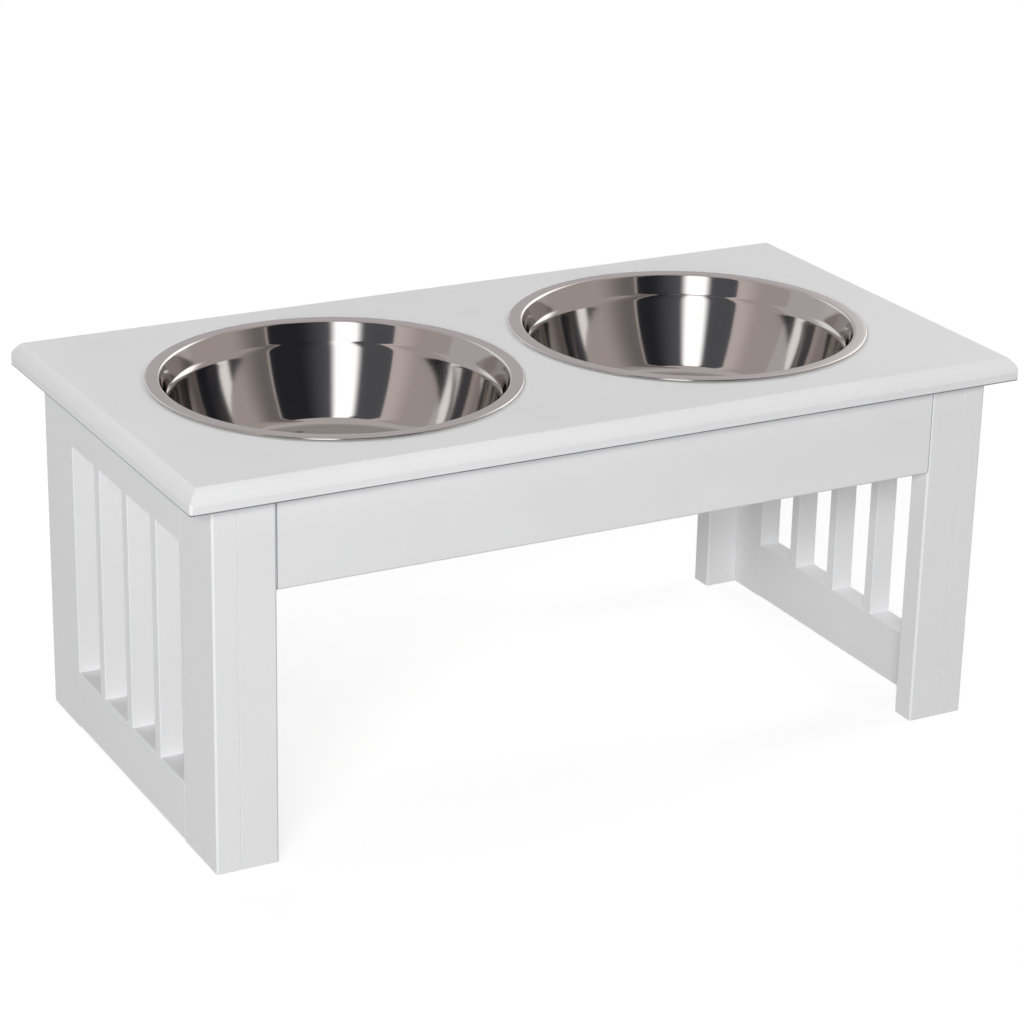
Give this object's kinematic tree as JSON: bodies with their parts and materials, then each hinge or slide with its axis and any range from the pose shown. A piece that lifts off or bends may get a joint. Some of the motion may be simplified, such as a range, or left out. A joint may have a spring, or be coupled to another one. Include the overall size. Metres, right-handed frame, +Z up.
{
  "type": "raised dog feeding stand",
  "caption": "White painted wooden table stand with slatted end frames and lift-out round steel bowls hung by their rims in cut-outs of the top.",
  "frame": {"origin": "on the floor, under the centre of the top board", "axes": "+X along the length of the stand to the right as seen from the front, +Y from front to back, +Z up"},
  "size_m": [0.584, 0.305, 0.2558],
  "materials": {
    "painted_wood": "sprayed satin white paint",
    "polished_steel": "mirror polished stainless steel",
    "birch": "bare turned birch",
    "zinc": "cast and plated zinc"
  },
  "bodies": {
    "stand": {"table_top": "painted_wood", "front_apron": "painted_wood", "back_apron": "painted_wood", "left_front_stile": "painted_wood", "left_back_stile": "painted_wood", "left_top_rail": "painted_wood", "left_bottom_rail": "painted_wood", "left_front_slat": "painted_wood", "left_middle_slat": "painted_wood", "left_back_slat": "painted_wood", "left_front_leg_block": "painted_wood", "left_back_leg_block": "painted_wood", "right_front_stile": "painted_wood", "right_back_stile": "painted_wood", "right_top_rail": "painted_wood", "right_bottom_rail": "painted_wood", "right_front_slat": "painted_wood", "right_middle_slat": "painted_wood", "right_back_slat": "painted_wood", "right_front_leg_block": "painted_wood", "right_back_leg_block": "painted_wood", "rail_dowels": "birch", "leg_block_dowels": "birch", "top_dowels": "birch", "apron_dowels": "birch", "cam_locks": "zinc", "cam_bolts": "zinc"},
    "left_bowl": {"left_bowl": "polished_steel"},
    "right_bowl": {"right_bowl": "polished_steel"}
  },
  "joints": [
    {"name": "left_bowl_lift", "type": "slide", "parent": "stand", "child": "left_bowl", "axis": [0, 0, 1], "range_m": [0, 0.08]},
    {"name": "right_bowl_lift", "type": "slide", "parent": "stand", "child": "right_bowl", "axis": [0, 0, 1], "range_m": [0, 0.08]}
  ]
}
